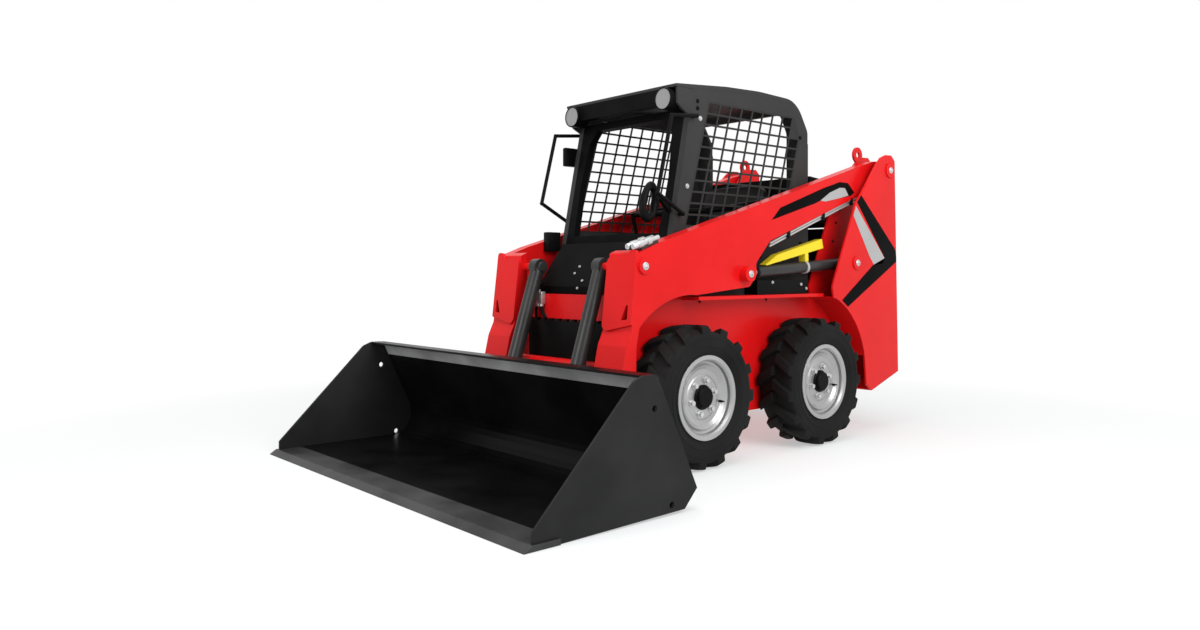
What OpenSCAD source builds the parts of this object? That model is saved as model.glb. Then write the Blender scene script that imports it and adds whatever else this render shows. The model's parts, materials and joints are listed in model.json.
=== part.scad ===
// Skid steer loader with a dirt bucket, millimetres.
// Front is -Y, the machine's left is +X, up is +Z, wheels stand on z = 0.
// Inside the modules y is measured from midway between the axles
// and z from the height of the axles.

/* [Wheels] */
// Diameter of a tyre over its lugs
tyre_d = 686; // [640:2:720]
// Width of a tyre
tyre_w = 216; // [200:2:230]
// Distance between front and rear axles
wheelbase = 950; // [920:5:1000]
// Gap between the frame and a tyre
wheel_gap = 14; // [10:1:30]
// Number of lugs on each side of a tyre
tyre_lugs = 15; // [12:1:20]
// Height of the lugs
lug_h = 24; // [15:1:30]
// Diameter of the rim's flanges
rim_d = 404; // [380:2:410]
// Thickness of the rim's barrel
rim_wall = 8; // [5:0.5:10]
// Thickness of the wheel disc
disc_t = 12; // [8:1:16]
// Depth of the wheel disc behind the rim's outer edge
disc_depth = 58; // [45:1:65]
// Diameter of an axle stub
axle_d = 80; // [60:2:100]
// Diameter of the axle's flange
axle_flange_d = 150; // [120:2:180]

/* [Frame] */
// Outside half width of the frame
frame_half_w = 430; // [400:1:460]
// Thickness of the frame's plates
frame_t = 12; // [8:1:14]
// Height of the frame's top above the axles
frame_top = 475; // [460:1:478]
// Depth of the frame's bottom below the axles
frame_drop = 143; // [120:1:170]
// Width of a chaincase
chaincase_w = 118; // [80:2:140]
// Height of the fender shelf's plate
fender_t = 18; // [10:1:24]
// Reach of the fender shelf past the frame
fender_w = 115; // [90:1:125]

/* [Towers] */
// Thickness of a tower's plates
tower_t = 12; // [8:1:12]
// Gap between an arm and a tower's outer plate
tower_gap = 44; // [40:1:60]
// Radius of the wheel arch in the towers
arch_r = 482; // [470:1:490]
// Diameter of the lifting eye in a tower
eye_d = 35; // [25:1:40]

/* [Cab] */
// Gap by which the cab stands inside the frame's width
cab_gap = 5; // [2:1:15]
// Thickness of the cab's side walls
cab_t = 35; // [25:1:45]
// Thickness of the roof
roof_t = 24; // [18:1:30]
// Length of one hole in the side mesh
mesh_len = 78; // [60:1:84]
// Height of one hole in the side mesh
mesh_rise = 48; // [36:1:52]
// Width of a bar in the side mesh
mesh_bar = 10; // [6:1:12]
// Thickness of the side mesh
mesh_t = 6; // [4:1:10]
// Diameter of a front lamp
lamp_d = 100; // [80:2:104]
// Diameter of a grab handle's tube
handle_d = 20; // [16:1:22]

/* [Lift arms] */
// Gap between the frame's side and an arm
arm_gap = 40; // [36:1:50]
// Width of an arm's beam
arm_w = 74; // [70:1:76]
// Width of an arm's front leg
leg_w = 194; // [180:2:200]
// Thickness of the arm's plates
arm_t = 10; // [8:1:12]
// Diameter of the arm pivot pins
arm_pin_d = 50; // [40:1:56]
// Diameter of the hitch pivot pins
hitch_pin_d = 44; // [36:1:50]
// Diameter of the tube across the arms
cross_tube_d = 60; // [40:2:64]

/* [Cylinders] */
// Outside diameter of a lift cylinder
lift_bore_od = 62; // [56:1:64]
// Diameter of a lift cylinder's rod
lift_rod_d = 38; // [30:1:42]
// Length between a lift cylinder's barrel and its rod's pin when the arms are down
lift_head = 144; // [130:1:160]
// Length between a lift cylinder's rod and its barrel's pin when the arms are down
lift_foot = 114; // [95:1:130]
// Outside diameter of a tilt cylinder
tilt_bore_od = 74; // [64:1:76]
// Diameter of a tilt cylinder's rod
tilt_rod_d = 42; // [34:1:46]
// Length between a tilt cylinder's barrel and its rod's pin with the bucket level
tilt_head = 122; // [110:1:135]
// Length between a tilt cylinder's rod and its barrel's pin with the bucket level
tilt_foot = 247; // [230:1:260]
// Diameter of the cylinder pins
cyl_pin_d = 40; // [34:1:44]

/* [Bucket] */
// Width over the cutting edge
bucket_w = 2182; // [1800:2:2200]
// Thickness of the bucket's shell
shell_t = 10; // [6:1:14]
// Thickness of a side plate
side_t = 12; // [8:1:16]
// Thickness of the cutting edge
edge_t = 22; // [18:1:26]
// Length of the cutting edge from tip to heel
edge_l = 158; // [130:2:180]
// Diameter of the holes in the side plates
side_hole_d = 26; // [16:1:30]
// Thickness of the hitch's plate
hitch_t = 12; // [8:1:16]

/* [Hidden] */
$fn = 64;

// Gaps between pieces
run_gap = 0.08;
seat_gap = 0.3;
move_gap = 6;

// Axle places
hub_z = tyre_d / 2;
front_y = -wheelbase / 2;
rear_y = wheelbase / 2;

// Pins of the linkages, as [y, z]
lift_pin = [rear_y + 740, 1205];
lift_base = [rear_y + 387, 647];
lift_eye = [front_y + 395, 585];
tilt_base = [front_y - 320, 622];
hitch_pin = [front_y - 455, -173];
tilt_eye = hitch_pin + [-70, 150];

// Bucket reference points, as [y, z]
bucket_floor = 2 - hub_z;
heel = hitch_pin + [-96, -84];
heel_low = [heel.x - 71, bucket_floor + edge_t - shell_t];
lip_back = heel + [-223, 465];
lip_front = lip_back + [-73, 0];
edge_tip = [heel.x - 858, bucket_floor];
edge_heel = [edge_tip.x + edge_l, bucket_floor];
back_up = unit(lip_back - heel);
back_out = [back_up.y, -back_up.x];

// Rear end and the middle of the whole length
rear_end = rear_y + 838;
mid_y = (edge_tip.x + rear_end) / 2;

// Cross positions
half_track = frame_half_w + wheel_gap + tyre_w / 2;
cab_half_w = frame_half_w - cab_gap;
arm_in = frame_half_w + arm_gap;
arm_half_w = arm_in + arm_w;
leg_in = arm_half_w - leg_w;
tower_in = frame_half_w;
tower_half_w = arm_half_w + tower_gap + tower_t;
lift_x = (arm_in + arm_half_w) / 2;
tilt_x = leg_in - 100;
side_out = bucket_w / 2 - 8;
side_in = side_out - side_t;
cab_in = cab_half_w - cab_t;

// Frame ends
frame_front = front_y - 285;
frame_rear = rear_y + 775;
floor_t = frame_t;
floor_top = frame_top + floor_t;

// Cab profile points, as [y, z]
sill = [front_y - 15, floor_top + 265];
header = [front_y + 123, floor_top + 935];
post_foot = [front_y - 30, floor_top];
cab_back = rear_y + 133;

// Vector and outline helpers
function unit(v) = v / norm(v);
function at(p) = [p.x, p.y];
function turn(a) = ((a + 540) % 360) - 180;
function polar(a) = [cos(a), sin(a)];
function arc(m, r, a0, a1, n = 8) = [for (i = [0:n]) m + r * polar(a0 + (a1 - a0) * i / n)];
function corner(a, b, c, r) =
  r == 0 ? [b] :
  let (
    u = unit(a - b),
    v = unit(c - b),
    half = acos(u * v) / 2,
    m = b + unit(u + v) * r / sin(half),
    p = b + u * r / tan(half) - m,
    q = b + v * r / tan(half) - m,
    a0 = atan2(p.y, p.x)
  ) arc(m, r, a0, a0 + turn(atan2(q.y, q.x) - a0));
// Each point of a rounded outline is [y, z, corner radius]
function rounded(pts) =
  let (n = len(pts))
  [
    for (i = [0:n - 1])
      each corner(at(pts[(i + n - 1) % n]), at(pts[i]), at(pts[(i + 1) % n]), pts[i].z)
  ];
// A step of t to the right of the line from p to q, and a corner moved in by t on that side
function right_of(p, q, t) = let (s = unit(q - p)) t * [s.y, -s.x];
function inset(a, b, c, t) =
  let (m = right_of(a, b, 1), n = right_of(b, c, 1))
  b + t * (m + n) / (1 + m * n);
function backwards(pts) = [for (i = [len(pts) - 1:-1:0]) pts[i]];
// A bar of thickness t on the left of the line from p to q
function bar(p, q, t) = let (s = unit(q - p), w = t * [-s.y, s.x]) [p, q, q + w, p + w];

// Moves the machine so that its middle stands on the origin
module machine() translate([0, -mid_y, hub_z]) children();
// Extrudes a [y, z] outline from x0 to x1
module across(x0, x1) translate([x0, 0, 0]) rotate([90, 0, 90]) linear_extrude(x1 - x0) children();
// A box between two corners
module block(low, high) translate(low) cube(high - low);
// A round bar across the machine at a [y, z] point
module round_bar(p, x0, x1, d) translate([x0, p.x, p.y]) rotate([0, 90, 0]) cylinder(d = d, h = x1 - x0);
// Points the z axis from p towards q in the plane at x
module along(p, q, x) translate([x, p.x, p.y]) rotate([atan2(p.x - q.x, q.y - p.y), 0, 0]) children();
module both_sides() {
  children();
  mirror([1, 0, 0]) children();
}

// Frame
module frame_side() {
  across(frame_half_w - frame_t, frame_half_w) polygon([
    [frame_front, -frame_drop], [rear_y + arch_r, -frame_drop], [frame_rear, 66 - frame_drop],
    [frame_rear, frame_top], [frame_front, frame_top]
  ]);
  block(
    [frame_half_w - frame_t - chaincase_w, front_y - 165, -frame_drop],
    [frame_half_w - frame_t, rear_y + 165, 137]
  );
  block(
    [frame_half_w, front_y + 55, frame_top - fender_t],
    [frame_half_w + fender_w, rear_y + 140, frame_top]
  );
}
module frame_side_left() color("crimson") machine() frame_side();
module frame_side_right() color("crimson") machine() mirror([1, 0, 0]) frame_side();

module belly_pan() color("firebrick") machine() {
  w = frame_half_w - frame_t - chaincase_w;
  block([-w, frame_front, -frame_drop], [w, frame_rear - 20, frame_t - frame_drop]);
}

module front_plate() color("crimson") machine()
  block([-frame_half_w, frame_front - frame_t, -frame_drop], [frame_half_w, frame_front, frame_top + 7]);

step_w = frame_half_w - 100;
step_teeth = 11;
step_z = [137, 357];
module step_plate() color("dimgray") machine() {
  y1 = frame_front - frame_t;
  difference() {
    block([-step_w, y1 - 22, step_z[0]], [step_w, y1, step_z[1]]);
    for (i = [0:step_teeth - 1])
      translate([(i - (step_teeth - 1) / 2) * 2 * step_w / step_teeth, y1 - 11, step_z[1]])
        cube([step_w / step_teeth, 23, 24], center = true);
  }
}

module rear_bumper() color("firebrick") machine()
  block([-tower_in, frame_rear, -43], [tower_in, rear_end, 67]);

// Towers
tower_ear = lift_pin + [-92, 100];
function tower_outline() = concat(
  [
    [rear_end - 40, lift_pin.y + 60],
    [rear_end, -8],
    [rear_end - 295, -101],
    [rear_end - 350, -58]
  ],
  arc([rear_y, 0], arch_r, 13, 68, 14),
  rounded([
    [rear_y + 160, 448, 0], [rear_y + 146, 510, 30], [rear_y + 379, 994, 80],
    [rear_y + 431, 1044, 40], [rear_y + 600, 1236, 40], [lift_pin.x - 95, lift_pin.y + 70, 20],
    [lift_pin.x - 40, lift_pin.y + 90, 0]
  ]),
  [[lift_pin.x + 20, lift_pin.y + 92]]
);
module tower() {
  out = tower_half_w;
  inner = tower_in + tower_t;
  across(out - tower_t, out) polygon(tower_outline());
  difference() {
    union() {
      across(tower_in, inner) polygon(tower_outline());
      round_bar(tower_ear, tower_in, inner, eye_d + 60);
    }
    round_bar(tower_ear, tower_in - 1, inner + 1, eye_d);
  }
  across(inner, out - tower_t) {
    polygon(concat(arc([rear_y, 0], arch_r, 13, 68, 14), arc([rear_y, 0], arch_r + 10, 68, 13, 14)));
    polygon(bar([rear_end, -8], [rear_end - 15, 560], 10));
    polygon(bar([rear_end - 295, -101], [rear_end, -8], 10));
  }
  round_bar(lift_pin, inner, out - tower_t, arm_pin_d);
  round_bar(lift_base, inner, out - tower_t, cyl_pin_d);
  round_bar(lift_pin, out, out + 8, arm_pin_d + 40);
  round_bar(lift_base, out, out + 8, cyl_pin_d + 40);
}
module tower_left() color("crimson") machine() tower();
module tower_right() color("crimson") machine() {
  mirror([1, 0, 0]) tower();
  for (z = knuckle_z) hinge_lugs(z);
}

module side_boxes() color("black") machine() both_sides()
  block([frame_half_w, rear_y - 410, frame_top], [frame_half_w + 84, rear_y + 25, frame_top + 78]);

// Engine bay
engine_half_w = frame_half_w - 170;
engine_y = [rear_y + 300, rear_y + 700];
engine_z = [77, 700];
foot_w = 60;
module engine_block() color("dimgray") machine() {
  block([-engine_half_w, engine_y[0], engine_z[0]], [engine_half_w, engine_y[1], engine_z[1]]);
  for (x = [40 - engine_half_w, engine_half_w - 40 - foot_w])
    block([x, engine_y[0], frame_t - frame_drop], [x + foot_w, engine_y[1], engine_z[0]]);
}

hood_low = 880;
hood_t = 8;
hood_front = cab_back + 40;
hood_rear = frame_rear + 10;
hood_top = [hood_low + 265, hood_low + 250, hood_low + 50];
function hood_line(t) = [
  [hood_rear - t, hood_top[2] - t], [rear_y + 330, hood_top[1] - t], [hood_front + t, hood_top[0] - t]
];
module hood() color("black") machine()
  difference() {
    across(-tower_in, tower_in)
      polygon(concat([[hood_front, hood_low], [hood_rear, hood_low]], hood_line(0)));
    across(hood_t - tower_in, tower_in - hood_t)
      polygon(concat(
        [[hood_front + hood_t, hood_low - 1], [hood_rear - hood_t, hood_low - 1]],
        hood_line(hood_t)
      ));
  }

// Rear door on two hinges of the right tower, knuckles at these heights
door_t = 24;
door_hinge = [-tower_in + 16, frame_rear + 20 + door_t];
knuckle_z = [180, 680];
knuckle_h = 70;
knuckle_d = 22;
hinge_pin_d = 14;
hinge_h = 14;
function lug_lows(z) = [z - hinge_h - seat_gap, z + knuckle_h + seat_gap];
module hinge_lugs(z) {
  for (low = lug_lows(z))
    block([-tower_in, door_hinge.y - 10, low], [door_hinge.x + 10, door_hinge.y + 10, low + hinge_h]);
  translate([door_hinge.x, door_hinge.y, z - hinge_h]) cylinder(d = hinge_pin_d, h = knuckle_h + 2 * hinge_h);
}
module rear_door() color("black") machine() {
  low = [door_hinge.x + 4, frame_rear + 12, 76];
  high = [tower_in - 16, frame_rear + 12 + door_t, hood_low - 6];
  difference() {
    union() {
      block(low, high);
      for (z = knuckle_z) {
        translate([door_hinge.x, door_hinge.y, z]) cylinder(d = knuckle_d, h = knuckle_h);
        block([door_hinge.x, high.y, z], [door_hinge.x + 60, high.y + 6, z + knuckle_h]);
      }
    }
    for (z = [170:60:650])
      block([190 - tower_in, low.y - 1, z], [tower_in - 190, high.y + 1, z + 26]);
    for (z = knuckle_z) {
      translate([door_hinge.x, door_hinge.y, z - 1])
        cylinder(d = hinge_pin_d + 2 * run_gap, h = knuckle_h + 2);
      for (lug = lug_lows(z))
        block([low.x - 1, low.y - 1, lug - 4], [door_hinge.x + 34, high.y + 1, lug + hinge_h + 4]);
    }
  }
}

module axles() color("gray") machine() both_sides()
  for (y = [front_y, rear_y]) {
    round_bar([y, 0], frame_half_w, frame_half_w + frame_t, axle_flange_d);
    round_bar([y, 0], frame_half_w + frame_t, disc_x + disc_t + 4, axle_d);
  }

// Cab
module cab_floor() color("dimgray") machine()
  block([-cab_half_w, post_foot.x, frame_top], [cab_half_w, cab_back, floor_top]);

foot_half_w = frame_half_w - 100;
foot_t = 8;
toe = [frame_front + 30, floor_top + 33];
module footwell() color("black") machine()
  difference() {
    across(-foot_half_w, foot_half_w) polygon([
      [post_foot.x, frame_top], [toe.x, frame_top], toe, [sill.x - 70, sill.y - 5], [sill.x, sill.y],
      [post_foot.x, floor_top]
    ]);
    across(-foot_half_w + foot_t, foot_half_w - foot_t) polygon([
      [sill.x + 40, floor_top], [toe.x + foot_t, floor_top], [toe.x + foot_t, toe.y - 4],
      [sill.x - 66, sill.y - 15], [sill.x + 40, sill.y - 10]
    ]);
  }

// Roof line over the side walls, front to back, raised by t
roof_peak = floor_top + 1060;
function roof_line(t) = rounded([
  [front_y + 140, roof_peak - 33 + t, 0], [front_y + 396, roof_peak - 11 + t, 600],
  [front_y + 668, roof_peak + t, 900], [rear_y + 50, roof_peak - 9 + t, 150 + t],
  [cab_back + t, roof_peak - 150, 60], [cab_back + t, roof_low, 0]
]);
roof_low = roof_peak - 219;
// Window of punched plate: its holes stand in leaning columns, counted from the top front one
mesh_lean = 0.284;
mesh_step = [mesh_len + mesh_bar, mesh_rise + mesh_bar];
mesh_rows = 11;
mesh_first = [front_y + 300, floor_top + 947];
window_low = mesh_first.y - mesh_rows * mesh_step.y + 25;
window_top = mesh_first.y + 32;
// Place on a leaning line that passes y at the top row's middle
function leaning(y, z) = [y - mesh_lean * (mesh_first.y - z), z];
window_edge = 8;
window_rear = 27;
window_front = mesh_first.x - mesh_step.x / 2 - window_edge;
window_back = cab_back - window_rear;
mesh_cols = floor((window_back - window_front - 2 * window_edge) / mesh_step.x + 0.01);
window_bend = mesh_first.y - 1.5 * mesh_step.y + 12;
window_pts = rounded([
  concat(leaning(window_front, window_low), 12), concat(leaning(window_front, window_top), 15),
  concat(leaning(window_back - mesh_step.x, window_top), 20), concat(leaning(window_back, window_bend), 15),
  concat(leaning(window_back, window_low), 12)
]);
// Side wall with the cheek beside the lamp
cheek_t = 12;
// Plate that carries the restraint bar's pin across the window's rear edge
bar_plate_t = 12;
bar_plate_h = 22;
bar_plate_l = 90;
module cab_wall() {
  difference() {
    across(cab_in, cab_half_w)
      polygon(concat([[cab_back, floor_top], post_foot, sill, header], roof_line(0)));
    across(cab_in - 1, cab_half_w + 1) polygon(window_pts);
  }
  round_bar(bar_pivot, bar_x - 12, cab_in, bar_pin_d);
  block(
    [cab_in, bar_pivot.x - bar_plate_h, bar_pivot.y - bar_plate_h],
    [cab_in + bar_plate_t, bar_pivot.x + bar_plate_l, bar_pivot.y + bar_plate_h]
  );
  across(cab_half_w - cheek_t, cab_half_w) polygon([
    [header.x + 20, header.y - 40], [header.x + 40, roof_front.y - 2],
    [roof_front.x + 8, roof_front.y - seat_gap], [roof_front.x + 8, lamp_z - 25],
    [roof_front.x + 50, lamp_z - 55], [header.x - 8, header.y - 40]
  ]);
}
module cab_side_left() color("dimgray") machine() cab_wall();
module cab_side_right() color("dimgray") machine() mirror([1, 0, 0]) cab_wall();

// One hole of the punched plate
module mesh_hole(col, row) {
  z = mesh_first.y - row * mesh_step.y;
  y = mesh_first.x + col * mesh_step.x - mesh_len / 2;
  low = z - mesh_rise / 2;
  top = z + mesh_rise / 2;
  polygon([leaning(y, low), leaning(y + mesh_len, low), leaning(y + mesh_len, top), leaning(y, top)]);
}
module mesh() across(cab_half_w - mesh_t, cab_half_w) difference() {
  polygon(window_pts);
  for (row = [0:mesh_rows - 1], col = [0:mesh_cols - (row < 2 ? 2 : 1)])
    mesh_hole(col, row);
}
module mesh_left() color("black") machine() mesh();
module mesh_right() color("black") machine() mirror([1, 0, 0]) mesh();

front_lean = atan2(header.x - sill.x, header.y - sill.y);
front_h = norm(header - sill);
front_t = 40;
door_half_w = cab_in - 50;
door_cut = [
  [door_half_w - 10, 40], [door_half_w, 330],
  [door_half_w - 20, front_h - 120], [door_half_w - 70, front_h - 40]
];
module cab_front() color("dimgray") machine()
  translate([0, sill.x, sill.y]) rotate([90 - front_lean, 0, 0]) translate([0, 0, -front_t])
    linear_extrude(front_t) difference() {
      translate([-cab_in, 0]) square([2 * cab_in, front_h]);
      polygon(concat(door_cut, backwards([for (p = door_cut) [-p.x, p.y]])));
    }

rear_win_half_w = cab_half_w - 130;
rear_win_low = floor_top + 470;
rear_win_top = roof_peak - 45;
// Rear opening, which runs up into the bend of the roof
module rear_opening()
  block([-rear_win_half_w, cab_back - 90, rear_win_low], [rear_win_half_w, cab_back + 60, rear_win_top]);
module cab_rear() color("dimgray") machine() difference() {
  block([-cab_half_w, cab_back, floor_top], [cab_half_w, cab_back + 28, roof_low]);
  rear_opening();
}

roof_front = [front_y + 21, roof_line(0)[0].y];
module cab_roof() color("dimgray") machine() difference() {
  across(-cab_half_w, cab_half_w) polygon(concat(
    [roof_front],
    roof_line(0),
    backwards(roof_line(roof_t)),
    [[roof_front.x, roof_front.y + 14]]
  ));
  rear_opening();
}

lamp_x = cab_half_w - 71;
lamp_rim = 6;
lamp_z = roof_front.y - lamp_d / 2 - lamp_rim - seat_gap;
module visor() color("black") machine() {
  pod = lamp_d / 2 + lamp_rim;
  difference() {
    block([-lamp_x, roof_front.x, lamp_z - 25], [lamp_x, roof_front.x + 50, roof_front.y]);
    both_sides() translate([lamp_x, roof_front.x + 51, lamp_z]) rotate([90, 0, 0])
      cylinder(r = pod - 1, h = 52);
  }
  both_sides() translate([lamp_x, roof_front.x + 60, lamp_z]) rotate([90, 0, 0]) cylinder(r = pod, h = 75);
}
module lamps() color("lightgray") machine() both_sides()
  translate([lamp_x, roof_front.x - 15, lamp_z]) rotate([90, 0, 0]) cylinder(d = lamp_d, h = 9);

// Grab handle on a front post, its bends as [y, z]
handle_x = cab_half_w + 27;
handle_pts = [
  [front_y + 140, floor_top + 890], [front_y - 40, floor_top + 872],
  [front_y - 138, floor_top + 488], [front_y + 40, floor_top + 395]
];
module handle() {
  for (i = [0:2])
    along(handle_pts[i], handle_pts[i + 1], handle_x)
      cylinder(d = handle_d, h = norm(handle_pts[i + 1] - handle_pts[i]));
  for (p = handle_pts) translate([handle_x, p.x, p.y]) sphere(d = handle_d + 2);
  for (p = [handle_pts[0], handle_pts[3]]) round_bar(p, cab_half_w, handle_x, handle_d);
}
module grab_handles() color("black") machine() both_sides() handle();

// Seat and controls
seat_half_w = cab_in - 140;
seat_top = floor_top + 290;
module seat_box() color("dimgray") machine()
  block([-seat_half_w, rear_y - 420, floor_top], [seat_half_w, cab_back, floor_top + 180]);
module seat_base() color("black") machine()
  block([-seat_half_w + 10, rear_y - 415, floor_top + 180], [seat_half_w - 10, rear_y + 20, seat_top]);
module seat_back() color("black") machine()
  across(-seat_half_w + 20, seat_half_w - 20) polygon([
    [rear_y - 70, seat_top], [rear_y + 20, seat_top],
    [rear_y + 90, seat_top + 400], [rear_y + 20, seat_top + 420]
  ]);

lever_x = cab_in - 100;
module control_levers() color("black") machine() both_sides() {
  block([lever_x - 40, rear_y - 520, floor_top], [lever_x + 40, rear_y - 430, floor_top + 200]);
  along([rear_y - 475, floor_top + 200], [rear_y - 560, floor_top + 480], lever_x) cylinder(d = 22, h = 260);
}

// Restraint bar over the operator's lap
bar_pivot = [rear_y - 40, floor_top + 514];
bar_front = [rear_y - 480, floor_top + 430];
bar_x = cab_in - 40;
bar_pin_d = 24;
module restraint_bar() color("black") machine() {
  both_sides() difference() {
    union() {
      across(bar_x - 10, bar_x + 10) polygon(bar(bar_front, bar_pivot - [0, 14], 30));
      round_bar(bar_pivot, bar_x - 10, bar_x + 10, 60);
    }
    round_bar(bar_pivot, bar_x - 11, bar_x + 11, bar_pin_d + 2 * run_gap);
  }
  round_bar(bar_front + [2, 14], 10 - bar_x, bar_x - 10, 30);
}

// Lift arms
beam_top = [
  [front_y - 344, 687], [front_y - 214, 734], [rear_y + 641, 1256]
];
beam_low = [[rear_y + 488, 1040], [front_y + 608, 758]];
elbow = [[front_y + 492, 640], [front_y + 499, 580], [front_y + 439, 519]];
arm_arch_r = 485;
front_foot = [front_y - 397, 327];
face_top = [front_y - 355, 681];
leg_front = [[front_y - 430, 257], [front_y - 515, -113]];
leg_back = [[front_y - 371, -43], [front_y - 365, 257]];
leg_split = front_y - 315;
pivot_r = 62;
hitch_r = 72;
function arm_outline() = concat(
  rounded([
    [front_foot.x, front_foot.y, 0], [face_top.x, face_top.y, 0], [beam_top[0].x, beam_top[0].y, 0],
    [beam_top[1].x, beam_top[1].y, 60], [beam_top[2].x, beam_top[2].y, 0]
  ]),
  arc(lift_pin, pivot_r, 110, -60, 12),
  rounded([
    [beam_low[0].x, beam_low[0].y, 0], [beam_low[1].x, beam_low[1].y, 60], [elbow[0].x, elbow[0].y, 30],
    [elbow[1].x, elbow[1].y, 25], [elbow[2].x, elbow[2].y, 30], [front_y + 60, arm_arch_r, 0]
  ]),
  arc([front_y, 0], arm_arch_r, 84, 135.7, 12),
  [leg_back[1], leg_back[0]],
  arc(hitch_pin, hitch_r, 0, -150, 12),
  [leg_front[1], leg_front[0]]
);
// Hollow of the front leg, open towards the wheel
function leg_pocket() =
  let (low = leg_front[1] + right_of(leg_front[1], leg_front[0], arm_t) + [0, 30])
  [
    [leg_split - arm_t, low.y], low,
    inset(leg_front[1], leg_front[0], front_foot, arm_t), inset(leg_front[0], front_foot, face_top, arm_t),
    inset(front_foot, face_top, beam_top[0], arm_t), inset(face_top, beam_top[0], beam_top[1], arm_t),
    [leg_split - arm_t, beam_top[0].y]
  ];
// Hollow of the beam, open downwards where the lift cylinder's eye moves
function beam_pocket() =
  let (under = beam_low[1] + [60, 13])
  [
    [leg_split + arm_t, 0], [leg_split + arm_t, beam_top[0].y],
    inset(beam_top[0], beam_top[1], beam_top[2], arm_t),
    lift_pin + [-pivot_r - 60, 0], inset(lift_pin, beam_low[0], beam_low[1], arm_t),
    under + right_of(beam_low[0], beam_low[1], arm_t), [under.x, 0]
  ];
// Front plate of an arm and the slot through it, as [x, height along the plate]
face_t = 12;
face_rise = 16;
face_h = norm(face_top - front_foot);
face_lean = atan2(face_top.x - front_foot.x, face_top.y - front_foot.y);
face_plate = rounded([
  [leg_in, -14, 34], [arm_half_w, 26, 8], [arm_half_w, face_h + face_rise, 16],
  [arm_half_w - 36, face_h + face_rise, 16], [arm_half_w - 66, face_h - face_rise, 16],
  [leg_in, face_h - face_rise, 26]
]);
face_slot = [
  [arm_half_w - 66, 46], [arm_half_w - 26, 52], [arm_half_w - 26, 116], [arm_half_w - 38, 116]
];
module on_face(z) translate([0, front_foot.x, front_foot.y]) rotate([90 - face_lean, 0, 0])
  translate([0, 0, z]) children();
module arm() {
  plate_in = arm_half_w - arm_t;
  difference() {
    union() {
      difference() {
        across(leg_in, arm_half_w) polygon(arm_outline());
        block([leg_in - 1, leg_split, 0], [arm_in, lift_pin.x + 2 * pivot_r, lift_pin.y + 2 * pivot_r]);
        across(leg_in + arm_t, plate_in) polygon(leg_pocket());
        across(arm_in + arm_t, plate_in) polygon(beam_pocket());
      }
      on_face(-3) linear_extrude(face_t + 3) polygon(face_plate);
      round_bar(lift_pin, tower_in + tower_t + 3, arm_in, 2 * pivot_r - 14);
      round_bar(lift_pin, arm_half_w, tower_half_w - tower_t - 3, 2 * pivot_r - 14);
      round_bar(tilt_base, arm_half_w, arm_half_w + 12, 73);
      round_bar(tilt_base, tilt_x - 38, leg_in, cyl_pin_d);
      round_bar(lift_eye, arm_half_w, arm_half_w + 46, 80);
    }
    on_face(-2 * arm_t) linear_extrude(2 * arm_t + face_t + 1) polygon(face_slot);
    round_bar(lift_pin, tower_in, tower_half_w, arm_pin_d + 2 * run_gap);
    round_bar(hitch_pin, leg_in - 1, arm_half_w + 1, hitch_pin_d + 2 * run_gap);
  }
}
module arm_left() color("crimson") machine() arm();
module arm_right() color("crimson") machine() mirror([1, 0, 0]) arm();

cross_tube = [front_y - 380, 137];
module arm_cross_tube() color("firebrick") machine() round_bar(cross_tube, -leg_in, leg_in, cross_tube_d);

coupler_s = 24;
coupler_h = 30;
module coupler_block() color("silver") machine() {
  x = arm_in + arm_t;
  u = unit(beam_top[1] - beam_top[0]);
  low = beam_top[0] + u * coupler_s + [0, seat_gap];
  top = low + [-u.y, u.x] * (coupler_h - 1);
  across(x, arm_half_w - arm_t) polygon(bar(low, beam_top[1] + [0, seat_gap], coupler_h));
  for (i = [0, 1])
    along(top, top - u, x + 16 + 22 * i)
      translate([0, 0, -10]) cylinder(d = 20, h = 50);
}

// Cylinders
module cyl_barrel(base, eye, x, od, len, rod_d, eye_w) {
  difference() {
    union() {
      round_bar(base, x - eye_w / 2, x + eye_w / 2, cyl_pin_d + 44);
      along(base, eye, x) cylinder(d = od, h = len);
    }
    along(base, eye, x) translate([0, 0, cyl_pin_d / 2 + 30]) cylinder(d = rod_d + 2 * run_gap, h = len);
    round_bar(base, x - od, x + od, cyl_pin_d + 2 * run_gap);
  }
}
module cyl_rod(base, eye, x, d, len, eye_w) {
  difference() {
    union() {
      round_bar(eye, x - eye_w / 2, x + eye_w / 2, cyl_pin_d + 28);
      along(eye, base, x) cylinder(d = d, h = len);
    }
    round_bar(eye, x - eye_w, x + eye_w, cyl_pin_d);
  }
}
lift_len = norm(lift_eye - lift_base);
tilt_len = norm(tilt_eye - tilt_base);
// Arm lock stored on the left lift cylinder, its near end raised on a clamp
lock_w = 44;
lock_h = 52;
lock_near = 220;
lock_far = 735;
lock_rise = 66;
clamp_s = 365;
clamp_w = 30;
lock_seat = lift_bore_od / 2 + seat_gap;
// A point s along a lift cylinder from its lower pin and n above its middle
function on_lift(s, n) =
  let (u = unit(lift_eye - lift_base))
  lift_base + u * s + n * [u.y, -u.x];
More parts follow.
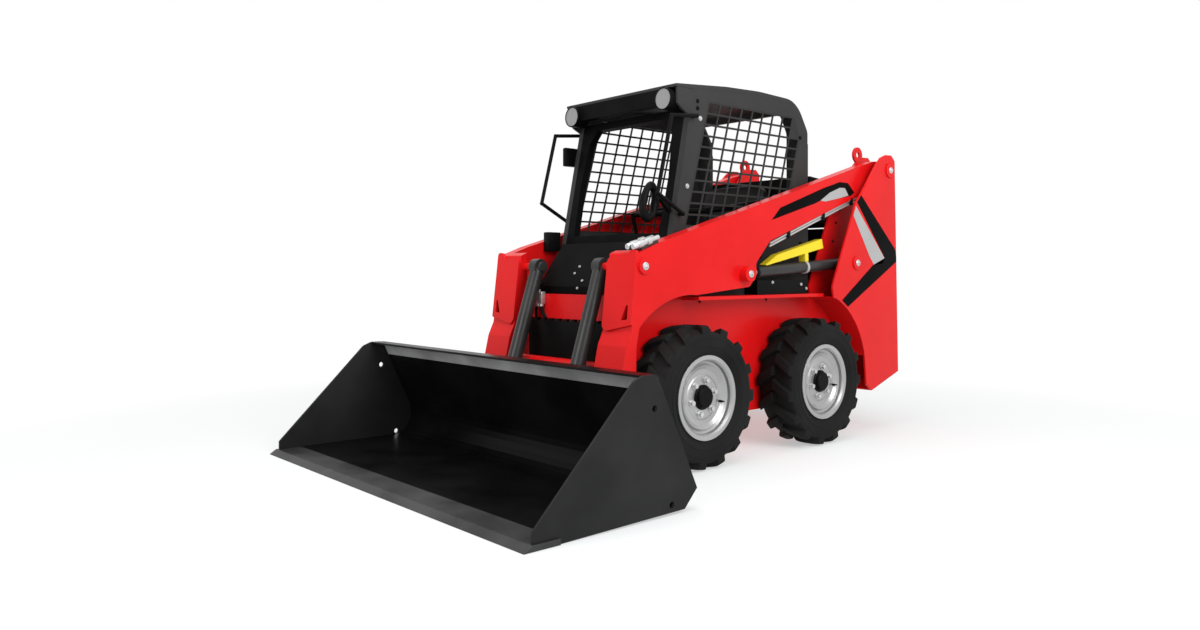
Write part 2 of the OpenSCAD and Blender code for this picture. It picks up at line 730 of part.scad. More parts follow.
// Height of the lock's lower edge above the cylinder's middle
function lock_low(s) = lock_seat + lock_rise * (lock_far - s) / (lock_far - lock_near);
module arm_lock() color("gold") machine()
  across(lift_x - lock_w / 2, lift_x + lock_w / 2)
    polygon([
      on_lift(lock_near, lock_low(lock_near)),
      on_lift(lock_near + 12, lock_low(lock_near) + lock_h),
      on_lift(lock_far - 95, lock_seat + lock_h),
      on_lift(lock_far + 10, lock_seat + 4),
      on_lift(lock_far, lock_seat),
      on_lift(clamp_s + clamp_w, lock_low(clamp_s + clamp_w)),
      on_lift(clamp_s + clamp_w, lock_seat),
      on_lift(clamp_s, lock_seat),
      on_lift(clamp_s, lock_low(clamp_s))
    ]);
module lift_barrels() color("black") machine() both_sides()
  cyl_barrel(lift_base, lift_eye, lift_x, lift_bore_od, lift_len - lift_head, lift_rod_d, 50);
module lift_rods() color("silver") machine() both_sides()
  cyl_rod(lift_base, lift_eye, lift_x, lift_rod_d, lift_len - lift_foot, 40);
module tilt_barrels() color("black") machine() both_sides()
  cyl_barrel(tilt_base, tilt_eye, tilt_x, tilt_bore_od, tilt_len - tilt_head, tilt_rod_d, 56);
module tilt_rods() color("silver") machine() both_sides()
  cyl_rod(tilt_base, tilt_eye, tilt_x, tilt_rod_d, tilt_len - tilt_foot, 56);

// Hitch and bucket
ear_t = 14;
hitch_h = 430;
function on_back(s, n) = heel + back_up * s + back_out * n;
module ear(pin, s0, s1, r, x) across(x, x + ear_t) {
  polygon([on_back(s0, hitch_t - 1), on_back(s1, hitch_t - 1), pin + back_up * r, pin - back_up * r]);
  translate(pin) circle(r);
}
module hitch() color("dimgray") machine() {
  outer = arm_half_w + move_gap;
  across(-outer - ear_t, outer + ear_t)
    polygon([
      on_back(0, seat_gap), on_back(hitch_h, seat_gap), on_back(hitch_h, hitch_t), on_back(0, hitch_t)
    ]);
  both_sides() {
    ear(hitch_pin, 0, 150, 50, outer);
    ear(hitch_pin, 0, 150, 50, leg_in - move_gap - ear_t);
    round_bar(hitch_pin, leg_in - move_gap, outer, hitch_pin_d);
    difference() {
      for (x = [tilt_x - tilt_bore_od / 2 - move_gap - ear_t, tilt_x + tilt_bore_od / 2 + move_gap])
        ear(tilt_eye, 110, 330, 42, x);
      round_bar(tilt_eye, tilt_x - 100, tilt_x + 100, cyl_pin_d);
    }
  }
}

bowl_r = 120;
module bucket_shell() color("black") machine()
  across(-side_in, side_in) {
    inner_heel = heel - back_out * shell_t;
    inner_lip = lip_back - back_out * shell_t;
    slope = (inner_lip.x - inner_heel.x) / (inner_lip.y - inner_heel.y);
    floor_z = bucket_floor + edge_t;
    polygon(concat(
      [edge_heel, heel_low, heel, lip_back, lip_front, lip_front - [0, shell_t]],
      rounded([
        [inner_lip.x - shell_t * slope, lip_back.y - shell_t, 0],
        [inner_heel.x + (floor_z - inner_heel.y) * slope, floor_z, bowl_r],
        [edge_heel.x, floor_z, 0]
      ])
    ));
  }

module bucket_sides() color("dimgray") machine() both_sides() difference() {
  floor_z = bucket_floor + edge_t;
  across(side_in, side_out) polygon(concat(
    [edge_heel, heel_low],
    rounded([
      [heel.x, heel.y, 0], [lip_back.x, lip_back.y, 25], [lip_front.x, lip_front.y, 40],
      [lip_front.x - 48, lip_front.y - 19, 30], [edge_tip.x + 44, floor_z + 40, 0]
    ]),
    [[edge_tip.x + 44, floor_z], [edge_heel.x, floor_z]]
  ));
  for (p = [lip_back + [-14, -129], heel_low + [-73, 27]])
    round_bar(p, side_in - 1, side_out + 1, side_hole_d);
}

module cutting_edge() color("gray") machine()
  across(-bucket_w / 2, bucket_w / 2)
    polygon([edge_tip, edge_heel, edge_heel + [0, edge_t], edge_tip + [34, edge_t]]);

// Wheels
disc_x = half_track + tyre_w / 2 - 2 - disc_depth;
bead = tyre_w / 2 - 18;
// Rings of one half of a tyre from the tread's middle to its bead:
// radius on a lug, radius between lugs, place across, lean of the lugs
lug_rib = 8;
lug_lean = 11;
function half_rings(side) =
  let (tip = tyre_d / 2, half = tyre_w / 2, low = tip - lug_h, rim_r = rim_d / 2, b = bead - seat_gap)
  [
    [tip, low, side * lug_rib, 0], [tip - 5, low - 10, side * (half - 5), lug_lean],
    [low - 20, low - 20, side * half, lug_lean], [rim_r + 34, rim_r + 34, side * (half - 4), lug_lean],
    [rim_r + 2, rim_r + 2, side * b, lug_lean],
    [rim_r - 16 + 4 * seat_gap, rim_r - 16 + 4 * seat_gap, side * b, lug_lean]
  ];
tyre_rings = concat(half_rings(1), backwards(half_rings(-1)));
// Places of a lug's four edges along its pitch
lug_edges = [0, 0.42, 0.5, 0.92];
function tyre_point(k, i) =
  let (
    ring = tyre_rings[k],
    on_lug = (i % 4 < 2) == (k < len(tyre_rings) / 2),
    p = polar((floor(i / 4) + lug_edges[i % 4]) * 360 / tyre_lugs + ring[3]) * (on_lug ? ring[0] : ring[1])
  ) [p.x, p.y, ring[2]];
ring_steps = 4 * tyre_lugs;
function tyre_id(k, i) = (k % len(tyre_rings)) * ring_steps + i % ring_steps;
module tyre(y) translate([half_track, y, 0]) rotate([0, 90, 0]) polyhedron(
  [for (k = [0:len(tyre_rings) - 1], i = [0:ring_steps - 1]) tyre_point(k, i)],
  [
    for (k = [0:len(tyre_rings) - 1], i = [0:ring_steps - 1])
      each [
        [tyre_id(k, i), tyre_id(k + 1, i), tyre_id(k + 1, i + 1)],
        [tyre_id(k, i), tyre_id(k + 1, i + 1), tyre_id(k, i + 1)]
      ]
  ]
);
module rim(y) translate([half_track, y, 0]) rotate([0, 90, 0]) rotate_extrude() {
  r1 = rim_d / 2;
  r0 = r1 - 16;
  well = r0 - rim_wall;
  edge = bead + 8;
  face = disc_x - half_track + disc_t;
  hole = axle_d / 2 + run_gap;
  polygon([
    [well, -edge], [r1, -edge], [r1, -bead], [r0, -bead], [r0, bead], [r1, bead], [r1, edge],
    [well + 4, edge], [well - 4, edge - 10], [well - 6, edge - 26], [well - 22, edge - 34],
    [well - 26, face + 16],
    [well - 44, face + 2], [well - 52, face], [hole + 70, face], [hole + 62, face + 4], [hole, face + 4],
    [hole, face - disc_t], [well, face - disc_t]
  ]);
}
module tyre_front_left() color("black") machine() tyre(front_y);
module tyre_front_right() color("black") machine() mirror([1, 0, 0]) tyre(front_y);
module tyre_rear_left() color("black") machine() tyre(rear_y);
module tyre_rear_right() color("black") machine() mirror([1, 0, 0]) tyre(rear_y);
module rim_front_left() color("silver") machine() rim(front_y);
module rim_front_right() color("silver") machine() mirror([1, 0, 0]) rim(front_y);
module rim_rear_left() color("silver") machine() rim(rear_y);
module rim_rear_right() color("silver") machine() mirror([1, 0, 0]) rim(rear_y);

frame_side_left();
frame_side_right();
belly_pan();
front_plate();
step_plate();
rear_bumper();
tower_left();
tower_right();
side_boxes();
engine_block();
hood();
rear_door();
axles();
cab_floor();
footwell();
cab_side_left();
cab_side_right();
cab_front();
cab_rear();
cab_roof();
mesh_left();
mesh_right();
visor();
lamps();
grab_handles();
seat_box();
seat_base();
seat_back();
control_levers();
restraint_bar();
arm_left();
arm_right();
arm_cross_tube();
coupler_block();
arm_lock();
lift_barrels();
lift_rods();
tilt_barrels();
tilt_rods();
hitch();
bucket_shell();
bucket_sides();
cutting_edge();
tyre_front_left();
tyre_front_right();
tyre_rear_left();
tyre_rear_right();
rim_front_left();
rim_front_right();
rim_rear_left();
rim_rear_right();
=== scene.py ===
# %% [markdown]
# The CAD model of a skid steer loader comes in as the fixed frame. Its solids keep their shapes and
# places. This script gives them paint, rubber and steel, adds the small pieces that a studio
# photograph shows, and sets up the studio itself.

# %% Load the frame
import json
import math

import bmesh
import bpy
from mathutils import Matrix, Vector
from mathutils.bvhtree import BVHTree


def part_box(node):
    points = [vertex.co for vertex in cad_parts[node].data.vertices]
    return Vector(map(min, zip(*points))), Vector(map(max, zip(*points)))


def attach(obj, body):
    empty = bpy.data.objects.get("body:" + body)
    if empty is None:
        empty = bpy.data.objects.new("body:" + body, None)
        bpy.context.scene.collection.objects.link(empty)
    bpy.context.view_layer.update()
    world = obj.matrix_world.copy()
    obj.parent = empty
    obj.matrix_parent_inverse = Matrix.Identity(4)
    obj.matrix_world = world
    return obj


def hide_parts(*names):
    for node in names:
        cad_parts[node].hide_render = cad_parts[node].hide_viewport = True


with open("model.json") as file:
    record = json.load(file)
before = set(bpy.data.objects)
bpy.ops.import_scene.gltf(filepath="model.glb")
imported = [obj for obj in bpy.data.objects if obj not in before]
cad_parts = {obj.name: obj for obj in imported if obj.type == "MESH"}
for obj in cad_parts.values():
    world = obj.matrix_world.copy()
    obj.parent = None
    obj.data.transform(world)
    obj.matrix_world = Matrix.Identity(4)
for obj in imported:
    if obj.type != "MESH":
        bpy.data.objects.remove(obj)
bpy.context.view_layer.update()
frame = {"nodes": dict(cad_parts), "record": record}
nodes = frame["nodes"]
print("CAD nodes:", len(nodes))

# %% [markdown]
# The camera was solved from the photograph: its place, its direction and the length of its lens come
# from symmetric pairs of points and from the wheels. The picture was cropped after it was taken, so
# the horizon doesn't lie in the middle, and the lens is shifted for that instead of being tilted.

# %% Camera
CAMERA_PLACE = (3.485, -3.3795, 0.943)
CAMERA_LEVEL, CAMERA_TURN = math.radians(90), math.radians(48.496)
SENSOR_MM, LENS_MM, LENS_SHIFT = 36, 26.885, -0.0366
camera = bpy.data.objects.new("camera", bpy.data.cameras.new("camera"))
bpy.context.scene.collection.objects.link(camera)
camera.location = CAMERA_PLACE
camera.rotation_euler = (CAMERA_LEVEL, 0, CAMERA_TURN)
camera.data.sensor_width = SENSOR_MM
camera.data.lens = LENS_MM
camera.data.shift_y = LENS_SHIFT
camera.data.dof.use_dof = False
bpy.context.scene.camera = camera
bpy.context.scene.view_settings.view_transform = "Standard"
print("camera at", CAMERA_PLACE)

# %% [markdown]
# Shader and geometry nodes are wired in Python here. One small class wraps an output socket, so that
# sockets can be added and multiplied like numbers, and one method makes any node: first its settings,
# then the values or sockets for its inputs. That keeps a long formula readable on one line.


# %% Node helpers
class Wire:
    """An output socket that works in plain arithmetic."""

    def __init__(self, graph, socket):
        self.graph, self.socket = graph, socket

    def __add__(self, other):
        return self.graph.math("ADD", self, other)

    __radd__ = __add__

    def __sub__(self, other):
        return self.graph.math("SUBTRACT", self, other)

    def __rsub__(self, other):
        return self.graph.math("SUBTRACT", other, self)

    def __mul__(self, other):
        return self.graph.math("MULTIPLY", self, other)

    __rmul__ = __mul__

    def __truediv__(self, other):
        return self.graph.math("DIVIDE", self, other)

    def __rtruediv__(self, other):
        return self.graph.math("DIVIDE", other, self)

    def clamp(self, low=0.0, high=1.0):
        return self.graph.add("ShaderNodeClamp", {}, self, low, high)

    def between(self, low, high):
        """0 below low, 1 above high, straight between them."""
        return ((self - low) / (high - low)).clamp()


class Graph:
    """A node tree with one way to make a node."""

    def __init__(self, tree):
        self.tree = tree

    def add(self, kind, settings, *values, out=0, **named):
        node = self.tree.nodes.new(kind)
        for name, value in settings.items():
            setattr(node, name, value)
        for key, value in [*enumerate(values), *named.items()]:
            if isinstance(value, Wire):
                self.tree.links.new(value.socket, node.inputs[key])
            elif value is not None:
                node.inputs[key].default_value = value
        return Wire(self, node.outputs[out]) if node.outputs else None

    def math(self, operation, *values):
        return self.add("ShaderNodeMath", {"operation": operation}, *values)

    def mix(self, share, a, b):
        """Two colours mixed; a Mix node keeps its colour sockets at places 6 and 7."""
        unused = [None] * 5
        return self.add("ShaderNodeMix", {"data_type": "RGBA"}, share, *unused, a, b, out=2)

    def noise(self, where, scale, detail=3.0, roughness=0.55):
        return self.add("ShaderNodeTexNoise", {}, where, None, scale, detail, roughness)

    def place(self):
        """The object coordinates of a point."""
        return self.add("ShaderNodeTexCoord", {}, out=3)

    def axes(self, vector):
        """The x, y and z of a vector."""
        split = self.add("ShaderNodeSeparateXYZ", {}, vector).socket.node
        return [Wire(self, socket) for socket in split.outputs]


def grey(value):
    return (value, value, value, 1.0)


def material(name, make):
    """A new material; make(graph) returns the inputs of its Principled shader."""
    mat = bpy.data.materials.new(name)
    mat.use_nodes = True
    mat.node_tree.nodes.clear()
    graph = Graph(mat.node_tree)
    shader = graph.add("ShaderNodeBsdfPrincipled", {}, **make(graph))
    graph.add("ShaderNodeOutputMaterial", {}, shader)
    return mat


print("node helpers ready")

# %% [markdown]
# A painted sheet of steel is never one flat colour. An image texture could show that, but it would
# need unwrapping. Each finish below mixes two close tones with a noise pattern in object coordinates
# instead, varies its roughness a little, and rounds the sharp CAD edges with a Bevel node, so that
# they catch the light as pressed and welded steel does.

# %% Finishes
EDGE_R = 0.004
CLOUD_SCALE, GRAIN_SCALE = 3.0, 240.0


def painted(dark, light, rough, coat=0.0, grain=0.0006, metallic=0.0, spec=0.5, edge=EDGE_R):
    def make(g):
        where = g.place()
        cloud = g.noise(where, CLOUD_SCALE).between(0.35, 0.65)
        fine = g.noise(where, GRAIN_SCALE, 2.0)
        soft = g.add("ShaderNodeBevel", {"samples": 4}, edge)
        bumpy = g.add("ShaderNodeBump", {}, Strength=0.25, Distance=grain, Height=fine, Normal=soft)
        return {
            "Base Color": g.mix(cloud, dark, light),
            "Roughness": rough + 0.08 * (cloud - 0.5) + 0.05 * (fine - 0.5),
            "Metallic": metallic,
            "Specular IOR Level": spec,
            "Coat Weight": coat,
            "Coat Roughness": 0.08,
            "Normal": bumpy,
        }
    return make


finishes = {
    "red_paint": painted((0.63, 0.005, 0.006, 1), (0.69, 0.008, 0.009, 1), 0.34, 0.05, spec=0.14),
    "black_paint": painted(grey(0.003), grey(0.006), 0.34, spec=0.05),
    "cab_charcoal": painted(grey(0.030), grey(0.038), 0.50, spec=0.10),
    "mesh_black": painted(grey(0.026), grey(0.034), 0.50, spec=0.08, edge=0.0015),
    # Painted light and shade: one bucket paint, a lighter grey on the lit sides and black in the hollow.
    "bucket_black": painted(grey(0.002), grey(0.005), 0.32, spec=0.06),
    "bucket_side_grey": painted(grey(0.013), grey(0.021), 0.52, spec=0.10),
    "worn_steel": painted(grey(0.03), grey(0.07), 0.45, metallic=0.4, spec=0.2),
    "chrome_rod": painted(grey(0.42), grey(0.5), 0.14, metallic=1.0),
    "lamp_grey": painted(grey(0.34), grey(0.40), 0.3),
    "seat_vinyl": painted(grey(0.006), grey(0.010), 0.5, spec=0.2),
    "lock_yellow": painted((0.72, 0.56, 0.012, 1), (0.78, 0.62, 0.02, 1), 0.4, spec=0.3),
    "engine_iron": painted(grey(0.02), grey(0.04), 0.6, spec=0.2),
    "tyre_rubber": painted(grey(0.007), grey(0.014), 0.70, spec=0.08),
    "rim_silver": painted(grey(0.35), grey(0.42), 0.30, metallic=0.65),
}
finish = {name: material(name, make) for name, make in finishes.items()}
for entry in frame["record"]["subparts"]:
    mesh = nodes[entry["node"]].data
    mesh.materials.clear()
    mesh.materials.append(finish[entry["material_slot"]])
print("finishes:", len(finish))

# %% [markdown]
# A few pieces differ from the rest of their kind. The cylinders have a glossier, lighter black than
# the plates, and part of that lightness is painted light for their lit fronts. The front of the cab,
# its visor and the footwell get a deep matt black, which is painted shade: darker than the charcoal
# of the cab's sides, as faces turned from the side lamp and the footwell recess are. Their slot in
# the record stays, and only the material on the mesh is changed.

# %% Repainted pieces
# Partly painted light: this lighter black stands in for the light on the cylinders' fronts.
cylinder_black_with_light = material("cylinder_black_with_light", painted(grey(0.020), grey(0.030), 0.30, spec=0.25))
# Painted shade: a deep black on the cab front, the visor and the footwell.
painted_shade_black = material("painted_shade_black", painted(grey(0.003), grey(0.007), 0.45, spec=0.02))
repainted = {
    cylinder_black_with_light: ("tilt_barrels", "lift_barrels"),
    painted_shade_black: ("footwell", "visor", "cab_front"),
}
for mat, names in repainted.items():
    for name in names:
        nodes[name].data.materials[0] = mat
print("repainted:", sum(len(names) for names in repainted.values()))

# %% [markdown]
# The added pieces are plain meshes that start at the origin, with their places in their vertices.
# Modifiers could shape them too, but plain vertices keep each piece's place easy to read. `piece`
# closes and shades a mesh, and hangs it on the body that it moves with.

# %% Pieces
MACHINE_Y = 0.2855


def piece(name, verts, faces, mat, body, slot, smooth=35, bevel=0.0):
    """A closed mesh in machine axes that rides on a body."""
    mesh = bpy.data.meshes.new(name)
    mesh.from_pydata([(x, y + MACHINE_Y, z) for x, y, z in verts], [], faces)
    bm = bmesh.new()
    bm.from_mesh(mesh)
    bmesh.ops.remove_doubles(bm, verts=bm.verts, dist=1e-6)
    bmesh.ops.recalc_face_normals(bm, faces=bm.faces)
    if bevel:
        bmesh.ops.bevel(bm, geom=bm.edges[:], offset=bevel, segments=2, profile=0.5, affect="EDGES")
    bm.to_mesh(mesh)
    bm.free()
    mesh.shade_smooth()
    mesh.set_sharp_from_angle(angle=math.radians(smooth))
    mesh.materials.append(mat)
    obj = bpy.data.objects.new(name, mesh)
    bpy.context.scene.collection.objects.link(obj)
    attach(obj, body)
    return obj


def joined(parts):
    """One list of vertices and faces from several."""
    verts, faces = [], []
    for part_verts, part_faces in parts:
        faces += [tuple(i + len(verts) for i in f) for f in part_faces]
        verts += part_verts
    return verts, faces


def mirrored(part):
    verts, faces = part
    return [(-x, y, z) for x, y, z in verts], faces


def both(part):
    """A piece of the left side, and its mirror image on the right."""
    return joined([part, mirrored(part)])


print("machine axes start at y", MACHINE_Y)

# %% [markdown]
# Nearly every fitting on a loader is a cut plate, a turned part or a bent tube. So the shapes come
# from three ways of modelling: an outline pushed out into a slab, a profile turned on a lathe, and a
# round section swept along a path. All three are rings of points, skinned one to the next.


# %% Shapes
def grid(rings, closed_ends=True):
    """Rings of equal length, skinned one to the next; the ends are capped or meet."""
    n, count = len(rings[0]), len(rings)
    verts = [p for ring in rings for p in ring]
    steps = count - 1 if closed_ends else count
    faces = [
        (k * n + i, k * n + (i + 1) % n, (k + 1) % count * n + (i + 1) % n, (k + 1) % count * n + i)
        for k in range(steps) for i in range(n)
    ]
    if closed_ends:
        faces += [tuple(range(n)), tuple(range((count - 1) * n, count * n))]
    return verts, faces


def slab(outline, x0, x1):
    """An outline in (y, z) pushed out from x0 to x1."""
    return grid([[(x, y, z) for y, z in outline] for x in (x0, x1)])


def box(low, high):
    (x0, y0, z0), (x1, y1, z1) = low, high
    return slab([(y0, z0), (y1, z0), (y1, z1), (y0, z1)], x0, x1)


def round_steps(count):
    """Angles of equal steps around a circle."""
    return [math.tau * i / count for i in range(count)]


def lathe(profile, centre, axis, sides=32, ring=False):
    """A profile of (radius, distance) turned about an axis; a ring closes on itself."""
    turn = Vector((0, 0, 1)).rotation_difference(Vector(axis))
    rings = []
    for r, d in profile:
        around = [Vector((r * math.cos(a), r * math.sin(a), d)) for a in round_steps(sides)]
        rings.append([tuple(Vector(centre) + turn @ p) for p in around])
    return grid(rings, closed_ends=not ring)


def rounded_path(points, bend, steps=6):
    """A path through points with its corners rounded off."""
    points = [Vector(p) for p in points]
    path = [points[0]]
    for a, b, c in zip(points, points[1:], points[2:]):
        p0 = b + (a - b).normalized() * min(bend, (a - b).length / 2)
        p2 = b + (c - b).normalized() * min(bend, (c - b).length / 2)
        for i in range(steps + 1):
            t = i / steps
            path.append((1 - t) ** 2 * p0 + 2 * t * (1 - t) * b + t * t * p2)
    return path + [points[-1]]


def tube(points, r, bend=0.03, sides=12):
    """A round section swept along a rounded path."""
    path = rounded_path(points, bend)
    path = [p for i, p in enumerate(path) if i == 0 or (p - path[i - 1]).length > 1e-5]
    side = (path[1] - path[0]).orthogonal().normalized()
    rings = []
    for i, p in enumerate(path):
        ahead = (path[min(i + 1, len(path) - 1)] - path[max(i - 1, 0)]).normalized()
        side = (side - ahead * side.dot(ahead)).normalized()
        up = ahead.cross(side)
        around = [r * (math.cos(a) * side + math.sin(a) * up) for a in round_steps(sides)]
        rings.append([tuple(p + offset) for offset in around])
    return grid(rings)


print("shapes ready")

# %% [markdown]
# Small fittings have to sit on the CAD faces. Their places could be typed in, but a leaning plate
# makes that guesswork, so a ray is shot at the CAD mesh and tells where it lands.

# %% Rays
left, right, front, rear = (1, 0, 0), (-1, 0, 0), (0, -1, 0), (0, 1, 0)


def hit(node, start, way):
    """Where a ray meets a CAD node, in machine axes, and the way that face looks."""
    mesh, shift = nodes[node].data, Vector((0, MACHINE_Y, 0))
    tree = BVHTree.FromPolygons([v.co for v in mesh.vertices], [p.vertices for p in mesh.polygons])
    place, normal, _, _ = tree.ray_cast(Vector(start) + shift, Vector(way))
    return (place - shift, normal) if place else None


print("rays ready")

# %% [markdown]
# A tyre is a grid of rings across and stations around. Each half of the tread has its own lugs, half
# a pitch apart, and every ring is turned a little further than the one before, so the lugs lean back.
# The CAD tyre has the same lugs with plain faces. Here the flanks, the shoulders and the ribs of the
# sidewall are drawn as well, and one tyre serves all four wheels.

# %% Tyres
WHEEL_X, WHEEL_Y, WHEEL_Z = 0.552, 0.475, 0.343
LUGS, LEAN = 15, math.radians(11)
wheels = [
    (f"{end}_{side}", sign, y)
    for end, y in (("front", -WHEEL_Y), ("rear", WHEEL_Y)) for side, sign in (("left", 1), ("right", -1))
]
# Across the tyre, radius on a lug, radius between lugs, share of the lean
tread = [
    (0.004, 0.3425, 0.3195, 0.0), (0.030, 0.3425, 0.3195, 0.25), (0.060, 0.3420, 0.3180, 0.55),
    (0.085, 0.3400, 0.3135, 0.80), (0.099, 0.3375, 0.3095, 0.95), (0.1045, 0.3330, 0.3060, 1.0),
    (0.1070, 0.3240, 0.3020, 1.0), (0.1080, 0.3100, 0.2985, 1.0), (0.1082, 0.2960, 0.2940, 1.0),
]
# Across the tyre and radius, down the sidewall with its two ribs to the bead
sidewall = [
    (0.1082, 0.2880), (0.1096, 0.2865), (0.1096, 0.2825), (0.1080, 0.2810), (0.1078, 0.2700),
    (0.1066, 0.2560), (0.1060, 0.2480), (0.1072, 0.2468), (0.1070, 0.2432), (0.1054, 0.2420),
    (0.1020, 0.2300), (0.0960, 0.2200), (0.0895, 0.2040), (0.0880, 0.1900),
]
half_profile = tread + [(across, r, r, 1.0) for across, r in sidewall]
# Places along one pitch, and where the outer and inner lugs stand
pitch = [0.0, 0.03, 0.12, 0.21, 0.30, 0.39, 0.42, 0.46, 0.50, 0.53, 0.62, 0.71, 0.80, 0.89, 0.92, 0.96]
on_outer = [0.02 < u < 0.40 for u in pitch]
on_inner = [0.52 < u < 0.90 for u in pitch]


def tyre_ring(across, lug_r, base_r, lean, raised):
    ring = []
    for lug in range(LUGS):
        for u, up in zip(pitch, raised):
            a = math.tau * (lug + u) / LUGS + lean * LEAN
            r = lug_r if up else base_r
            ring.append((across, r * math.sin(a), -r * math.cos(a)))
    return ring


outer = [tyre_ring(s, a, b, lean, on_outer) for s, a, b, lean in half_profile]
inner = [tyre_ring(-s, a, b, lean, on_inner) for s, a, b, lean in half_profile]
tyre_verts, tyre_faces = grid(outer + inner[::-1], closed_ends=False)
rubber = finish["tyre_rubber"]
for name, sign, y in wheels:
    verts = [(sign * (WHEEL_X + p[0]), y + p[1], WHEEL_Z + p[2]) for p in tyre_verts]
    obj = piece("tyre_shape_" + name, verts, tyre_faces, rubber, "wheel_" + name, "tyre_rubber", 28)
    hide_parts("tyre_" + name)
print("tyre faces:", len(tyre_faces))

# %% [markdown]
# Bolts repeat, so Geometry Nodes makes them. The points carry an attribute that says which way each
# head faces, the tree puts a washer and a head on every point, and a random turn with a fixed seed
# keeps the hexagons from lining up. The result is made real and turned into a plain mesh.

# %% Bolt heads
WASHER_SHARE, HEX_TURN, BOLT_SEED = 1.4, 1.05, 7


def bolt_tree(mat):
    tree = bpy.data.node_groups.new("bolt_heads", "GeometryNodeTree")
    for name, kind in (("Points", "Geometry"), ("Head", "Float"), ("Height", "Float"), ("Sides", "Int")):
        tree.interface.new_socket(name=name, in_out="INPUT", socket_type="NodeSocket" + kind)
    tree.interface.new_socket(name="Bolts", in_out="OUTPUT", socket_type="NodeSocketGeometry")
    g = Graph(tree)
    given = g.add("NodeGroupInput", {}).socket.node.outputs
    points, head, height, sides = (Wire(g, given[k]) for k in ("Points", "Head", "Height", "Sides"))
    washer = g.add("GeometryNodeMeshCylinder", {}, 24, 1, 1, head * WASHER_SHARE, height * 0.5)
    hexagon = g.add("GeometryNodeMeshCylinder", {}, sides, 1, 1, head, height)
    lift = g.add("ShaderNodeCombineXYZ", {}, 0.0, 0.0, height * 0.5)
    raised = g.add("GeometryNodeSetPosition", {}, hexagon, Offset=lift)
    bolt = g.add("GeometryNodeJoinGeometry", {}, raised)
    tree.links.new(washer.socket, bolt.socket.node.inputs[0])
    facing = g.add("GeometryNodeInputNamedAttribute", {"data_type": "FLOAT_VECTOR"}, "facing")
    turn = g.add("FunctionNodeAlignRotationToVector", {"axis": "Z"}, Vector=facing)
    number = {"data_type": "FLOAT"}
    angle = g.add("FunctionNodeRandomValue", number, None, None, 0.0, HEX_TURN, Seed=BOLT_SEED, out=1)
    spin = g.add("FunctionNodeAxisAngleToRotation", {}, (0, 0, 1), angle)
    turned = g.add("FunctionNodeRotateRotation", {"rotation_space": "LOCAL"}, turn, spin)
    put = g.add("GeometryNodeInstanceOnPoints", {}, points, Instance=bolt, Rotation=turned)
    real = g.add("GeometryNodeRealizeInstances", {}, put)
    g.add("NodeGroupOutput", {}, g.add("GeometryNodeSetMaterial", {}, real, Material=mat))
    return tree


zinc = material("zinc", painted(grey(0.48), grey(0.60), 0.34, metallic=0.7, edge=0.001))
bolt_nodes = bolt_tree(zinc)
bolt_inputs = {s.name: s.identifier for s in bolt_nodes.interface.items_tree if s.in_out == "INPUT"}


def bolts(name, body, spots, head, height, mat=zinc, sides=6):
    """Bolt heads on spots, each a place and the way it faces, as one mesh."""
    mesh = bpy.data.meshes.new(name)
    mesh.from_pydata([(x, y + MACHINE_Y, z) for (x, y, z), _ in spots], [], [])
    facing = mesh.attributes.new("facing", "FLOAT_VECTOR", "POINT")
    for item, (_, way) in zip(facing.data, spots):
        item.vector = way
    obj = bpy.data.objects.new(name, mesh)
    bpy.context.scene.collection.objects.link(obj)
    modifier = obj.modifiers.new("bolts", "NODES")
    modifier.node_group = bolt_nodes
    for key, value in (("Head", head), ("Height", height), ("Sides", sides)):
        modifier[bolt_inputs[key]] = value
    real = bpy.data.meshes.new_from_object(obj.evaluated_get(bpy.context.evaluated_depsgraph_get()))
    obj.modifiers.clear()
    obj.data = real
    real.materials.clear()
    real.materials.append(mat)
    real.shade_smooth()
    real.set_sharp_from_angle(angle=math.radians(35))
    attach(obj, body)


def on_faces(node, starts, way):
    """Spots where rays from the starts meet a CAD node."""
    found = [hit(node, start, way) for start in starts]
    return [spot for spot in found if spot]


print("bolt tree inputs:", list(bolt_inputs))

# %% [markdown]
# Six nuts hold each rim, round a black cap over the hub, and a valve stem stands beside them. The
# nuts come from the bolt tree. Cap and stem are turned parts, so the lathe makes them.

# %% Wheel nuts, caps and valves
HUB_X, NUT_CIRCLE_R, NUTS = 0.616, 0.082, 6
VALVE_X, VALVE_Y, VALVE_Z = 0.612, 0.125, -0.03
cap_profile = [(0.0, 0.0), (0.060, 0.0), (0.060, 0.004), (0.052, 0.009), (0.050, 0.022), (0.044, 0.027),
               (0.0, 0.027)]
stem_profile = [(0, 0), (0.006, 0), (0.006, 0.018), (0.004, 0.02), (0.004, 0.03), (0, 0.03)]
black = finish["black_paint"]
for name, sign, y in wheels:
    body, out = "wheel_" + name, (sign, 0, 0)
    spots = []
    for i in range(NUTS):
        a = math.tau * (i + 0.25) / NUTS
        place = (sign * HUB_X, y + NUT_CIRCLE_R * math.sin(a), WHEEL_Z + NUT_CIRCLE_R * math.cos(a))
        spots.append((place, out))
    bolts("wheel_nuts_" + name, body, spots, 0.0125, 0.018)
    cap = lathe(cap_profile, (sign * HUB_X, y, WHEEL_Z), out)
    piece("hub_cap_" + name, *cap, black, body, "black_paint", 30)
    stem = lathe(stem_profile, (sign * VALVE_X, y + VALVE_Y, WHEEL_Z + VALVE_Z), out, 12)
    piece("valve_" + name, *stem, black, body, "black_paint", 30)
print("wheels dressed:", len(wheels))

# %% [markdown]
# The broad bands on the arms and towers are vinyl film in two tones, black with a plain grey field.
# A pattern in the paint could draw them, but an outline is easier to get sharp, so they are thin
# slabs that stand just off the paint.

